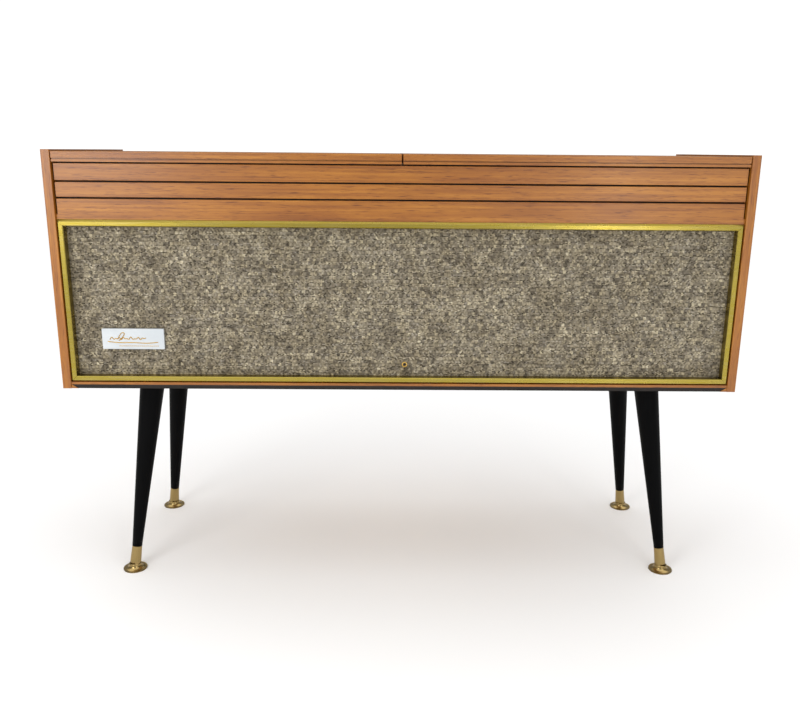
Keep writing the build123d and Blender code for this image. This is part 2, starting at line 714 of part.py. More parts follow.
with BuildPart() as motor_pulley:
    rod(motor_x, motor_y, (deck_top - motor_height + motor_floor + 1.0, platter_bottom), motor_shaft_radius)
    rod(motor_x, motor_y, (platter_bottom, idler_bottom + idler_thickness), pulley_radius)
pieces["motor_pulley"] = motor_pulley

arm_turn = radians(arm_rest_turn)
arm_plane = Plane(
    (arm_x, arm_y, arm_z), x_dir=(cos(arm_turn), sin(arm_turn), 0), z_dir=(0, 0, 1)
)  # its X runs along the stored arm to the head
yoke_gap = 0.4
yoke_half = 9.0
yoke_cheek = 3.0
pivot_radius = 1.5

with BuildPart() as tonearm_base:
    rod(arm_x, arm_y, (plate_top, plate_top + base_height), base_radius)
    pillar_top = arm_z - pillar_drop
    rod(arm_x, arm_y, (plate_top + base_height, pillar_top), pillar_radius)
    socket = (pillar_top - yoke_socket_depth, pillar_top)
    rod(arm_x, arm_y, socket, yoke_pin_radius + running_fit, Mode.SUBTRACT)
    fillet(tonearm_base.edges().group_by(SortBy.LENGTH)[-1].sort_by(Axis.Z)[-1], 1.5)
pieces["tonearm_base"] = tonearm_base

with BuildPart() as tonearm_yoke:
    rod(arm_x, arm_y, (arm_z - yoke_drop - yoke_pin_length, arm_z - yoke_drop), yoke_pin_radius)
    with BuildSketch(arm_plane.offset(-yoke_drop)):
        Rectangle(yoke_length, 2 * (yoke_half + yoke_cheek))
    extrude(amount=yoke_floor)
    with BuildSketch(arm_plane.offset(-yoke_drop)):
        with Locations((0, yoke_half + yoke_cheek / 2), (0, -yoke_half - yoke_cheek / 2)):
            Rectangle(yoke_cheek_length, yoke_cheek)
    extrude(amount=yoke_drop + yoke_top)
    yoke_pin = Plane(arm_plane.origin, x_dir=arm_plane.x_dir, z_dir=arm_plane.y_dir)
    with BuildSketch(yoke_pin.offset(-yoke_half)):
        Circle(pivot_radius)
    extrude(amount=2 * yoke_half)
pieces["tonearm_yoke"] = tonearm_yoke

with BuildPart() as tonearm:
    with BuildSketch(Plane(arm_plane.origin - arm_plane.x_dir * arm_tail, z_dir=arm_plane.x_dir)):
        Circle(tonearm_tube_radius)
    extrude(amount=arm_tube_length)
    with BuildSketch(Plane(arm_plane.origin - arm_plane.x_dir * arm_tail_end, z_dir=arm_plane.x_dir)):
        Circle(counterweight_radius)
    extrude(amount=counterweight_length)
    with BuildSketch(yoke_pin.offset(-yoke_half + yoke_gap)):
        Circle(arm_pivot_boss_radius)
    extrude(amount=2 * (yoke_half - yoke_gap))
    with BuildSketch(arm_plane.offset(-head_drop)):
        with Locations((tonearm_length - head_back, 0)):
            RectangleRounded(head_length, head_width, 4.0)
    extrude(amount=head_thickness)
    with BuildSketch(yoke_pin.offset(-yoke_half)):
        Circle(pivot_radius + running_fit)
    extrude(amount=2 * yoke_half, mode=Mode.SUBTRACT)
pieces["tonearm"] = tonearm

stylus_z = mat_top + 2.5
with BuildPart() as cartridge:
    with BuildSketch(arm_plane.offset(-head_drop)):
        with Locations((tonearm_length - head_back, 0)):
            Rectangle(cartridge_length, cartridge_width)
    extrude(amount=-(arm_z - head_drop - stylus_z - stylus_length))
    with BuildSketch(arm_plane.offset(stylus_z - arm_z + stylus_length)):
        with Locations((tonearm_length - stylus_back, 0)):
            Circle(stylus_radius)
    extrude(amount=-stylus_length)
pieces["cartridge"] = cartridge

rest_x = arm_x + rest_distance * cos(arm_turn)
rest_y = arm_y + rest_distance * sin(arm_turn)
rest_top = arm_z - tonearm_tube_radius - 0.3
with BuildPart() as arm_rest:
    rest_plane = Plane((rest_x, rest_y, rest_top), x_dir=arm_plane.x_dir, z_dir=(0, 0, 1))
    rod(rest_x, rest_y, (plate_top, rest_top), rest_post_radius)
    with BuildSketch(rest_plane):
        Rectangle(rest_length, rest_width)
    extrude(amount=-rest_post_radius)
    with BuildSketch(rest_plane):
        with Locations((0, (rest_width - rest_lip) / 2)):
            Rectangle(rest_length, rest_lip)
    extrude(amount=rest_lip_height)
pieces["arm_rest"] = arm_rest

with BuildPart() as speed_knob:
    rod(knob_x, knob_y, (deck_top - 8.0, plate_top + control_lift), speed_shaft_radius)
    rod(knob_x, knob_y, (plate_top + control_lift, plate_top + speed_bar_low), speed_disc_radius)
    slab(
        (knob_x - speed_bar_length / 2, knob_x + speed_bar_length / 2),
        (knob_y - speed_bar_width / 2, knob_y + speed_bar_width / 2),
        (plate_top + speed_bar_low, plate_top + speed_bar_high),
    )
    fillet(speed_knob.faces().sort_by(Axis.Z)[-1].edges(), control_round)
pieces["speed_knob"] = speed_knob

with BuildPart() as start_lever:
    slab(
        (lever_x - lever_stem_width / 2, lever_x + lever_stem_width / 2),
        (lever_y - lever_stem_length / 2, lever_y + lever_stem_length / 2),
        (deck_top - 6.0, plate_top + 3.0),
    )
    slab(
        (lever_x - lever_width / 2, lever_x + lever_width / 2),
        (lever_y - lever_length / 2, lever_y + lever_length / 2),
        (plate_top + 1.0, plate_top + 12.0),
    )
    fillet(start_lever.faces().sort_by(Axis.Z)[-1].edges(), 2.0)
pieces["start_lever"] = start_lever

with BuildPart() as record_arm:
    record_turn = atan2(spindle_y - record_arm_y, spindle_x - record_arm_x)
    record_plane = Plane(
        (record_arm_x, record_arm_y, plate_top + record_arm_height),
        x_dir=(cos(record_turn), sin(record_turn), 0),
        z_dir=(0, 0, 1),
    )
    rod(record_arm_x, record_arm_y, (plate_top + 0.3, plate_top + record_arm_height), record_post_radius)
    with BuildSketch(record_plane.offset(-record_arm_thickness)):
        with Locations((record_arm_length / 2, 0)):
            SlotOverall(record_arm_length + record_arm_width, record_arm_width)
    extrude(amount=record_arm_thickness)
    button_reach = hypot(spindle_x - record_arm_x, spindle_y - record_arm_y) - record_button_back
    with BuildSketch(record_plane.offset(-record_arm_thickness - record_button_length)):
        with Locations((button_reach, 0)):
            Circle(record_button_radius)
    extrude(amount=record_button_length)
    fillet(record_arm.faces().sort_by(Axis.Z)[-1].edges(), control_round)
pieces["record_arm"] = record_arm

# ---- Radio -------------------------------------------------------------------------------------------------
volume_x, tone_x, tuning_x = radio_x - 200.0, radio_x - 120.0, radio_x + 180.0
key_places = {"key_off": radio_x - 34.0, "key_radio": radio_x, "key_phono": radio_x + 34.0}
key_width, key_depth = 28.0, 20.0
knob_shaft_radius = 3.0
chassis_top = panel_under - chassis_drop

with BuildPart() as control_panel:
    slab((-inner, -bay_inner), (bay_front, back_inside), (panel_under, panel_top))
    dial_x = (radio_x - dial_width / 2, radio_x + dial_width / 2)
    dial_span = (dial_y - dial_height / 2, dial_y + dial_height / 2)
    slab(dial_x, dial_span, (panel_under, panel_top), Mode.SUBTRACT)
    slab(
        (dial_x[0] - dial_rebate, dial_x[1] + dial_rebate),
        (dial_span[0] - dial_rebate, dial_span[1] + dial_rebate),
        (panel_top - dial_glass_thickness, panel_top),
        Mode.SUBTRACT,
    )
    for shaft_x in (volume_x, tone_x, tuning_x):
        rod(shaft_x, controls_y, (panel_under, panel_top), knob_shaft_radius + knob_fit, Mode.SUBTRACT)
    for key_x in key_places.values():
        slab(
            (key_x - key_width / 2 - key_gap, key_x + key_width / 2 + key_gap),
            (controls_y - key_depth / 2 - key_gap, controls_y + key_depth / 2 + key_gap),
            (panel_under, panel_top),
            Mode.SUBTRACT,
        )
pieces["control_panel"] = control_panel

with BuildPart() as dial_glass:
    slab(
        (dial_x[0] - dial_rebate + glass_gap, dial_x[1] + dial_rebate - glass_gap),
        (dial_span[0] - dial_rebate + glass_gap, dial_span[1] + dial_rebate - glass_gap),
        (panel_top - dial_glass_thickness, panel_top),
    )
pieces["dial_glass"] = dial_glass

scale_top = panel_under - 1.0
with BuildPart() as dial_scale:
    slab(
        (dial_x[0] - dial_rebate, dial_x[1] + dial_rebate),
        (dial_span[0] - dial_rebate, dial_span[1] + dial_rebate),
        (scale_top - dial_plate_thickness, scale_top),
    )
pieces["dial_scale"] = dial_scale

with BuildPart() as dial_pointer:
    slab(
        (radio_x - pointer_half_width, radio_x + pointer_half_width),
        (dial_span[0] + 4.0, dial_span[1] - 3.0),
        (scale_top + 1.0, scale_top + 2.0),
    )
    slab(
        (radio_x - pointer_carriage_half_width, radio_x + pointer_carriage_half_width),
        (dial_span[1] - 6.0, dial_span[1] - 1.0),
        (scale_top + 0.3, scale_top + 3.0),
    )
pieces["dial_pointer"] = dial_pointer


def knob(x, radius, height):
    """A turned knob on its own shaft, standing on the control panel."""
    with BuildPart() as turned:
        rod(x, controls_y, (chassis_top + 0.3, panel_top + 1.0), knob_shaft_radius)
        rod(x, controls_y, (panel_top + 0.8, panel_top + knob_skirt_height), radius + knob_skirt)
        rod(x, controls_y, (panel_top + knob_skirt_height, panel_top + height), radius)
        fillet(turned.faces().sort_by(Axis.Z)[-1].edges(), 2.0)
        with BuildSketch(Plane.XY.offset(panel_top + knob_skirt_height)):
            with Locations((x, controls_y)):
                with PolarLocations(radius, knob_flutes):
                    Circle(knob_flute_radius)
        extrude(amount=height - knob_skirt_height - 3.0, mode=Mode.SUBTRACT)
    return turned


pieces["volume_knob"] = knob(volume_x, 16.0, 20.0)
pieces["tone_knob"] = knob(tone_x, 16.0, 20.0)
pieces["tuning_knob"] = knob(tuning_x, 22.0, 22.0)

for name, key_x in key_places.items():
    with BuildPart() as key:
        slab(
            (key_x - key_width / 2, key_x + key_width / 2),
            (controls_y - key_depth / 2, controls_y + key_depth / 2),
            (panel_under - key_skirt, panel_top + key_travel + key_stand),
        )
        fillet(key.faces().sort_by(Axis.Z)[-1].edges(), control_round)
    pieces[name] = key

chassis_x = (radio_x - chassis_width / 2, radio_x + chassis_width / 2)
with BuildPart() as radio_chassis:
    slab(chassis_x, chassis_y, (chassis_top - chassis_height, chassis_top))
    slab(
        (chassis_x[0] + chassis_wall, chassis_x[1] - chassis_wall),
        (chassis_y[0] + chassis_wall, chassis_y[1] - chassis_wall),
        (chassis_top - chassis_height, chassis_top - chassis_wall),
        Mode.SUBTRACT,
    )
    for end in chassis_x:
        wall = sorted((end, end + (chassis_wall if end == chassis_x[0] else -chassis_wall)))
        slab(wall, chassis_y, (chassis_top, panel_under))
pieces["radio_chassis"] = radio_chassis

with BuildPart() as valves:
    for valve_x in valve_places:
        rod(radio_x + valve_x, valve_row_y, (chassis_top, chassis_top + valve_height), valve_radius)
    fillet(valves.faces().filter_by(Axis.Z).group_by(Axis.Z)[-1].edges(), valve_round)
pieces["valves"] = valves

with BuildPart() as transformers:
    for along, across, height in (
        (mains_transformer_x, mains_transformer_y, mains_transformer_height),
        (output_transformer_x, output_transformer_y, output_transformer_height),
    ):
        slab((radio_x + along[0], radio_x + along[1]), across, (chassis_top, chassis_top + height))
    chamfer(transformers.edges().filter_by(Axis.Z), transformer_chamfer)
pieces["transformers"] = transformers

# ---- Files -------------------------------------------------------------------------------------------------
os.makedirs("parts", exist_ok=True)
for name, piece in pieces.items():
    piece.part.label = name
    export_step(piece.part, f"parts/{name}.step")
print(len(pieces), "nodes")
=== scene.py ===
import json
import math
import random

import bpy
from mathutils import Matrix, Vector


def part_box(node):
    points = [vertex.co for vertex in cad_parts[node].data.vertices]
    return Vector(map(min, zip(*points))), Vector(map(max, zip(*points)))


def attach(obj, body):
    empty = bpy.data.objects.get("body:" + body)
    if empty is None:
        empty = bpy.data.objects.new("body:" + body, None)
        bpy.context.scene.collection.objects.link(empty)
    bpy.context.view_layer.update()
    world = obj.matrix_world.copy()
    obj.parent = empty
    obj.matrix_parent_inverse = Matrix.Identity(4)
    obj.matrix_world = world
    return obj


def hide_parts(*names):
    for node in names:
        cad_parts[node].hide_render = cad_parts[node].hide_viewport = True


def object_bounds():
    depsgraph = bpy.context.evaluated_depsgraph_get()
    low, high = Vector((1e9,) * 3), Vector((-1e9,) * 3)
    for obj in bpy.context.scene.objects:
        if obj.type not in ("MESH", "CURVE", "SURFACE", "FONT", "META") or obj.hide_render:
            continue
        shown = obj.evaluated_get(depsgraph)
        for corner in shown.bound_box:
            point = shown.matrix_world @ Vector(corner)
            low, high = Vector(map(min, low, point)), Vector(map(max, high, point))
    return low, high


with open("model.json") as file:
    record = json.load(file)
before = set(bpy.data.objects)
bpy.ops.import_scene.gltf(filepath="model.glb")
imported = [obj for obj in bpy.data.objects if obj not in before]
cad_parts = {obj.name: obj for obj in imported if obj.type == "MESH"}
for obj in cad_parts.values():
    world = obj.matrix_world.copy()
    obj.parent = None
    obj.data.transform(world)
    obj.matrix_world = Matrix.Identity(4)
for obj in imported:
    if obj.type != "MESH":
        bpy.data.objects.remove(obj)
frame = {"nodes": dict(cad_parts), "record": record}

# Radio phonograph console: the looks over the CAD pieces. Metres, +Z up, the front faces -Y.

cad_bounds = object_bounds()
NODES = frame["nodes"]
BODIES = frame["record"]["behaviour"]["bodies"]
BODY_OF = {node: body for body, nodes in BODIES.items() for node in nodes}

MM = 0.001
ACROSS, BACK, UP = Vector((1, 0, 0)), Vector((0, 1, 0)), Vector((0, 0, 1))
SHARP = math.radians(40)  # edges sharper than this are rounded by a bevel
ARRIS = 0.5 * MM  # sandpaper eases the edges of a board by this much

# Single yarns are too fine to show, so the weave is drawn in cells of several yarns each.
WEAVE_CELL, WEAVE_ROW = 6.1 * MM, 6.4 * MM
THREAD_WIDTH, THREAD_HEIGHT = 3.05 * MM, 2.13 * MM
WEAVE_GAP = 0.5 * MM
CLOTH_STEP = 2.05 * MM  # between the cloth's mesh points
CLOTH_SET_IN = 0.35 * MM
FLOAT_RISE = 0.25 * MM  # how far a yarn stands out where it passes over the others

PRINT_RISE, INK_DEPTH = 0.06 * MM, 0.05 * MM


# ---- Shader tools ----------------------------------------------------------------------------------
def linear(hex_colour):
    """An sRGB hex colour as the linear RGBA that a shader takes."""
    channels = [int(hex_colour[i : i + 2], 16) / 255 for i in (1, 3, 5)]
    return [c / 12.92 if c <= 0.04045 else ((c + 0.055) / 1.055) ** 2.4 for c in channels] + [1.0]


def per(size):
    """A pattern's scale, from the size of one of its features in millimetres."""
    return 1 / (size * MM)


def add_node(tree, kind, inputs, out=0, stops=(), **properties):
    """Adds a shader node and gives back an output; an input takes another node's output or a value."""
    made = tree.nodes.new("ShaderNode" + kind)
    for name, value in properties.items():
        setattr(made, name, value)
    for name, value in inputs.items():
        if isinstance(value, bpy.types.NodeSocket):
            tree.links.new(value, made.inputs[name])
        else:
            made.inputs[name].default_value = value
    while stops and len(made.color_ramp.elements) < len(stops):
        made.color_ramp.elements.new(1.0)
    for number, (place, colour) in enumerate(stops):
        made.color_ramp.elements[number].position = place
        made.color_ramp.elements[number].color = linear(colour)
    return made.outputs[out]


def new_material(name, **settings):
    """A material, its node tree and its shader, with the shader's inputs set by name."""
    made = bpy.data.materials.new(name)
    made.use_nodes = True
    shader = made.node_tree.nodes["Principled BSDF"]
    for key, value in settings.items():
        shader.inputs[key.replace("_", " ")].default_value = value
    return made, made.node_tree, shader


# The Mix node's sockets for colours, and its settings where one colour darkens another.
SHARE, UNDER, OVER, MIXED = 0, 6, 7, 2
DARKEN = {"data_type": "RGBA", "blend_type": "MULTIPLY"}


# ---- Materials -------------------------------------------------------------------------------------
def veneer(name, along, tones):
    """Satin veneer: a fine straight grain, short pores and a soft ribbon figure along the boards."""
    made, tree, shader = new_material(name, Roughness=0.40, Coat_Weight=0.14, Coat_Roughness=0.20)
    place = add_node(tree, "TexCoord", {}, "Object")
    # Each is (across the grain, along the grain), in millimetres.
    streak_size, ribbon_size, pore_size = (5.26, 312.5), (41.67, 200.0), (1.316, 23.8)
    patterns = []
    for across_grain, along_grain in (streak_size, ribbon_size, pore_size):
        scale = [per(across_grain)] * 3
        scale["XYZ".index(along)] = per(along_grain)
        patterns.append(add_node(tree, "Mapping", {"Vector": place, "Scale": scale}))
    streak_space, ribbon_space, pore_space = patterns
    streak = {"Vector": streak_space, "Scale": 1.0, "Detail": 6.0, "Roughness": 0.6}
    streaks = add_node(tree, "TexNoise", streak)
    ribbon = {"Vector": ribbon_space, "Scale": 1.0, "Detail": 4.0, "Distortion": 0.4}
    figure = add_node(tree, "TexNoise", ribbon)
    pores = add_node(tree, "TexNoise", {"Vector": pore_space, "Scale": 1.0, "Detail": 2.0, "Roughness": 0.6})
    grain_stops = tuple(zip((0.26, 0.44, 0.58, 0.76), tones))
    grain = add_node(tree, "ValToRGB", {"Fac": streaks}, stops=grain_stops)
    bands = add_node(tree, "ValToRGB", {"Fac": figure}, stops=((0.32, "#D8C4A8"), (0.68, "#FFFBEF")))
    specks = add_node(tree, "ValToRGB", {"Fac": pores}, stops=((0.30, "#9A7650"), (0.44, "#FFFFFF")))
    figured = add_node(tree, "Mix", {SHARE: 0.8, UNDER: grain, OVER: bands}, MIXED, **DARKEN)
    colour = add_node(tree, "Mix", {SHARE: 0.7, UNDER: figured, OVER: specks}, MIXED, **DARKEN)
    relief = add_node(tree, "Bump", {"Height": pores, "Strength": 0.10, "Distance": 0.4 * MM})
    tree.links.new(colour, shader.inputs["Base Color"])
    tree.links.new(relief, shader.inputs["Normal"])
    return made


def tweed(name):
    """Tweed grille cloth: slub yarns of beige, grey and brown in a staggered weave."""
    made, tree, shader = new_material(
        name, Roughness=0.95, Sheen_Weight=0.15, Sheen_Roughness=0.6, Specular_IOR_Level=0.1
    )
    place = add_node(tree, "TexCoord", {}, "Object")
    upright = add_node(tree, "Mapping", {"Vector": place, "Rotation": (math.radians(-90), 0, 0)})
    # The yarns wander by up to half a millimetre across and half as much up.
    sway = add_node(tree, "TexNoise", {"Vector": place, "Scale": per(11.11), "Detail": 1.0}, "Color")
    wander = (1.0 * MM, 0.5 * MM, 0.0)
    swayed = add_node(tree, "VectorMath", {0: sway, 1: wander}, operation="MULTIPLY")
    sheet = add_node(tree, "VectorMath", {0: upright, 1: swayed}, operation="ADD")
    aside = add_node(tree, "Mapping", {"Vector": sheet, "Location": (0.31, 0.17, 0.0)})
    ends = {"Color1": (0, 0, 0, 1), "Color2": (1, 1, 1, 1), "Scale": 1.0}
    cell = {"Brick Width": WEAVE_CELL, "Row Height": WEAVE_ROW}
    cell.update({"Mortar Size": WEAVE_GAP, "Mortar Smooth": 1.0})
    threads = {"Mortar Size": 0.0, "Brick Width": THREAD_WIDTH, "Row Height": THREAD_HEIGHT}
    cell_shade = add_node(tree, "TexBrick", {**ends, **cell, "Vector": sheet, "Mortar": (0.5, 0.5, 0.5, 1)})
    between = add_node(tree, "TexBrick", {**ends, **cell, "Vector": sheet}, "Fac")
    thread_shade = add_node(tree, "TexBrick", {**ends, **threads, "Vector": aside})
    yarns = ((0.0, "#7C766C"), (0.20, "#979084"), (0.60, "#ADA594"), (0.88, "#B9B09C"), (1.0, "#CFC6AF"))
    yarn = add_node(tree, "ValToRGB", {"Fac": cell_shade}, stops=yarns)
    plies = ((0.0, "#6E6961"), (0.16, "#A9A49B"), (0.60, "#D8D4CA"), (0.86, "#EFEBE0"), (1.0, "#FFFFFF"))
    ply = add_node(tree, "ValToRGB", {"Fac": thread_shade}, stops=plies)
    # The gaps between the weave cells are darkened: painted shade between the floats.
    gaps = add_node(tree, "ValToRGB", {"Fac": between}, stops=((0.0, "#FFFFFF"), (1.0, "#8C857A")))
    slub = add_node(tree, "TexNoise", {"Vector": place, "Scale": per(33.33), "Detail": 3.0})
    cloud = add_node(tree, "ValToRGB", {"Fac": slub}, stops=((0.35, "#D6D2CB"), (0.62, "#FFFFFF")))
    plied = add_node(tree, "Mix", {SHARE: 1.0, UNDER: yarn, OVER: ply}, MIXED, **DARKEN)
    woven = add_node(tree, "Mix", {SHARE: 0.8, UNDER: plied, OVER: gaps}, MIXED, **DARKEN)
    colour = add_node(tree, "Mix", {SHARE: 0.8, UNDER: woven, OVER: cloud}, MIXED, **DARKEN)
    fuzz = add_node(tree, "TexNoise", {"Vector": place, "Scale": per(1.111), "Detail": 2.0})
    relief = add_node(tree, "Bump", {"Height": fuzz, "Strength": 0.3, "Distance": 0.4 * MM})
    tree.links.new(colour, shader.inputs["Base Color"])
    tree.links.new(relief, shader.inputs["Normal"])
    return made


def metal(name, colour, roughness, along=None, streak=0.0):
    """Bare or plated metal, with faint handling smears; along gives fine drawn lines one way."""
    made, tree, shader = new_material(name, Metallic=1.0, Base_Color=linear(colour))
    place = add_node(tree, "TexCoord", {}, "Object")
    if along:
        line_width, line_length = 0.3846, 50.0
        scale = [per(line_width)] * 3
        scale["XYZ".index(along)] = per(line_length)
        space = add_node(tree, "Mapping", {"Vector": place, "Scale": scale})
        draw_lines = add_node(tree, "TexNoise", {"Vector": space, "Scale": 1.0, "Detail": 2.0})
        shade = add_node(tree, "ValToRGB", {"Fac": draw_lines}, stops=((0.3, colour), (0.7, "#FFFFFF")))
        tint = {SHARE: streak, UNDER: linear(colour), OVER: shade}
        drawn = add_node(tree, "Mix", tint, MIXED, data_type="RGBA")
        tree.links.new(drawn, shader.inputs["Base Color"])
    smears = add_node(tree, "TexNoise", {"Vector": place, "Scale": per(41.67), "Detail": 4.0})
    cleanest, dullest = max(roughness - 0.07, 0.03), roughness + 0.10
    wear = add_node(tree, "MapRange", {"Value": smears, "To Min": cleanest, "To Max": dullest})
    tree.links.new(wear, shader.inputs["Roughness"])
    return made


def coloured(
    name, colour, roughness, clouds="#FFFFFF", cloud_size=33.33, grit=0.0, grit_size=1.111, **settings
):
    """Paint, lacquer, plastic, glass or rubber: one colour, slightly clouded, with a fine grit if stated."""
    made, tree, shader = new_material(name, Roughness=roughness, **settings)
    place = add_node(tree, "TexCoord", {}, "Object")
    cloud = add_node(tree, "TexNoise", {"Vector": place, "Scale": per(cloud_size), "Detail": 4.0})
    shade = add_node(tree, "ValToRGB", {"Fac": cloud}, stops=((0.3, clouds), (0.7, "#FFFFFF")))
    mixed = add_node(tree, "Mix", {SHARE: 1.0, UNDER: linear(colour), OVER: shade}, MIXED, **DARKEN)
    tree.links.new(mixed, shader.inputs["Base Color"])
    if grit:
        rough = add_node(tree, "TexNoise", {"Vector": place, "Scale": per(grit_size), "Detail": 2.0})
        relief = add_node(tree, "Bump", {"Height": rough, "Strength": grit, "Distance": 0.3 * MM})
        tree.links.new(relief, shader.inputs["Normal"])
    return made


def hardboard(name):
    """Pressed hardboard: brown fibres with no direction, and no shine."""
    made, tree, shader = new_material(name, Roughness=0.75)
    place = add_node(tree, "TexCoord", {}, "Object")
    noise = {"Vector": place, "Scale": per(2.381), "Detail": 6.0, "Roughness": 0.7, "Distortion": 1.5}
    fibre = add_node(tree, "TexNoise", noise)
    browns = ((0.30, "#4A3220"), (0.50, "#6E4C31"), (0.70, "#8B6542"))
    colour = add_node(tree, "ValToRGB", {"Fac": fibre}, stops=browns)
    relief = add_node(tree, "Bump", {"Height": fibre, "Strength": 0.25, "Distance": 0.4 * MM})
    tree.links.new(colour, shader.inputs["Base Color"])
    tree.links.new(relief, shader.inputs["Normal"])
    return made


SAPELE = ("#8A5216", "#9F631C", "#AF7223", "#C08433")
BIRCH = ("#9C7A4E", "#B8945F", "#C9A772", "#D6B886")
# For paint, plastic, rubber and glass: colour, roughness, clouding's tint and size, grit's height and size.
FINISHES = {
    # Warm red-brown wood with a low sheen, fine dark pores and a soft ribbon of lighter bands.
    "veneer_along": veneer("sapele veneer satin, grain along", "X", SAPELE),
    "veneer_up": veneer("sapele veneer satin, grain upright", "Z", SAPELE),
    # Pale straw wood, which shows in the record bay and round the speakers.
    "inside_board": veneer("birch board oiled", "X", BIRCH),
    # Nearly black brown: painted shade, so that the gaps between the slats read as shadow; it also paints
    # the shade below the bottom rail's lip.
    "dark_board": coloured("dark board as painted shade", "#1E120B", 0.7, "#8A7A70", 12.5, 0.2),
    # Flat mid brown with a fibrous mottle and no shine.
    "hardboard": hardboard("pressed hardboard"),
    # Grey-beige cloth, speckled with pale slubs, with painted shade in the gaps between the floats.
    "tweed": tweed("tweed grille cloth woven"),
    # Greenish gold with a soft, drawn sheen that brightens where it faces the light.
    "trim": metal("anodised yellow trim, satin", "#9A8722", 0.26, "X", 0.08),
    # Bright yellow metal with blurred reflections.
    "hinge_brass": metal("hinge brass satin", "#C9A55A", 0.32),
    # Duller, browner brass with handling marks and small bright glints on the flare.
    "foot_brass": metal("spun brass worn", "#A38C5C", 0.28),
    # Cool, slightly cloudy grey metal.
    "zinc": metal("zinc plated steel", "#B9BCC0", 0.35),
    # Sharp mirror highlights.
    "chrome": metal("chromed steel polished", "#D8DADC", 0.10),
    # Grey metal, softer than chrome, with a broad highlight round the rim.
    "turned_steel": metal("turned steel platter", "#A8ABAE", 0.30),
    # Metal with a faint yellow-green cast and a blurred shine.
    "chassis": metal("cadmium plated chassis", "#B7B59A", 0.38),
    # Cool white with a smooth, glossy face.
    "white_plastic": coloured("white polystyrene moulded", "#D0D4D6", 0.25, "#F2F4F6", 50.0),
    # Warm gold lines that flash against the white.
    "gilt": metal("gilt hot foil", "#D2A640", 0.40),
    # A deep, even black with hardly any highlight.
    "black_lacquer": coloured(
        "black satin lacquer on beech",
        "#040405", 0.55, "#B0B0B0", 25.0, 0.05, 1.667, Specular_IOR_Level=0.06,
    ),
    # Black with a dull, lightly textured skin.
    "black_paint": coloured("black stoved paint", "#111112", 0.5, "#B0B0B0", 25.0, 0.15),
    # Warm cream with the shallow dimples of hammer finish in its highlights.
    "cream_enamel": coloured("cream hammered enamel", "#CDBE98", 0.35, "#EFE8DA", 16.67, 0.35, 3.125),
    # Smooth ivory with a soft gloss.
    "cream_plastic": coloured("cream urea moulded", "#D9CEB0", 0.28, "#F2EDE2"),
    # Very dark brown with a polished highlight and faint mottling.
    "brown_plastic": coloured("brown bakelite polished", "#2A1710", 0.22, "#9A8A80", 20.0),
    # Charcoal with a grainy surface that takes no highlight.
    "black_rubber": coloured("black rubber matt", "#17171A", 0.85, "#B8B8B8", 14.29, 0.4, 2.0),
    # Dull blue-grey.
    "grey_paint": coloured("grey motor paint", "#4A4E52", 0.5, "#C0C0C0", 20.0, 0.2),
    # Soft black behind the glass.
    "dial_paint": coloured("dial scale black paint", "#15130F", 0.4, "#B0A898"),
    # Cream lines and numbers that stand out on the black.
    "dial_ink": coloured("dial cream ink", "#E8D9A8", 0.5, "#F0E8D8", 11.11),
    # Thin brown figures on wood and cream.
    "mark_ink": coloured("brown pad-printed ink", "#3A2A1C", 0.5, "#D0C8C0", 11.11),
    # One clear red line across the scale.
    "pointer_red": coloured("red pointer paint", "#C0281C", 0.35, "#D8C8C0", 16.67),
    # Clear, with a single sharp reflection.
    "clear_glass": coloured("clear glass polished", "#F2F8F5", 0.04, Transmission_Weight=0.95, IOR=1.5),
    # Half silvered, so that each valve has a bright edge and a grey heart.
    "valve_glass": coloured(
        "valve glass silvered", "#C7CCD0", 0.08, "#A0A0A0", 16.67, Transmission_Weight=0.6, IOR=1.5
    ),
}

NODE_FINISH = {
    "veneer_up": "side_panel_left side_panel_right",
    "veneer_along": "lid_left lid_right slat_upper slat_middle slat_lower bottom_rail rear_top_rail "
    "control_panel",
    "inside_board": "bottom_board centre_partition motor_board baffle_board",
    "dark_board": "fascia_board",
    "hardboard": "back_panel",
    "zinc": "back_screws",
    "black_rubber": "cord_gland platter_mat idler_wheel",
    "trim": "grille_trim",
    "hinge_brass": "hinge_leaf_left hinge_leaf_right hinge_rail_leaves hinge_pins lid_stay_left "
    "lid_stay_right stay_brackets",
    "black_lacquer": "legs",
    "black_paint": "leg_plates",
    "foot_brass": "ferrules feet",
    "cream_enamel": "player_plate tonearm_base tonearm_yoke",
    "turned_steel": "platter",
    "chrome": "spindle motor_pulley",
    "grey_paint": "drive_motor speakers",
    "cream_plastic": "tonearm arm_rest key_off key_radio key_phono",
    "brown_plastic": "cartridge speed_knob start_lever record_arm volume_knob tone_knob tuning_knob",
    "clear_glass": "dial_glass",
    "dial_paint": "dial_scale",
    "pointer_red": "dial_pointer",
    "chassis": "radio_chassis transformers",
    "valve_glass": "valves",
    "tweed": "grille_cloth",
    "white_plastic": "badge",
}
FINISH_OF = {node: finish for finish, names in NODE_FINISH.items() for node in names.split()}


def paint(piece, finish):
    """Gives a piece one finish."""
    piece.data.materials.clear()
    piece.data.materials.append(FINISHES[finish])


for node_name, finish_name in FINISH_OF.items():
    paint(NODES[node_name], finish_name)


# ---- Making pieces ---------------------------------------------------------------------------------
def only(piece):
    """Leaves this piece alone selected and active."""
    bpy.ops.object.select_all(action="DESELECT")
    piece.select_set(True)
    bpy.context.view_layer.objects.active = piece


def new_piece(name, data):
    """Puts a new piece into the scene."""
    piece = bpy.data.objects.new(name, data)
    bpy.context.scene.collection.objects.link(piece)
    return piece


def apply_place(piece):
    """Moves the piece's place, turn and size into its mesh."""
    only(piece)
    bpy.ops.object.transform_apply(location=True, rotation=True, scale=True)


def apply_modifier(piece, kind, **settings):
    """Adds a modifier with its settings and applies it."""
    only(piece)
    made = piece.modifiers.new(kind.title(), kind)
    for key, value in settings.items():
        setattr(made, key, value)
    bpy.ops.object.modifier_apply(modifier=made.name)


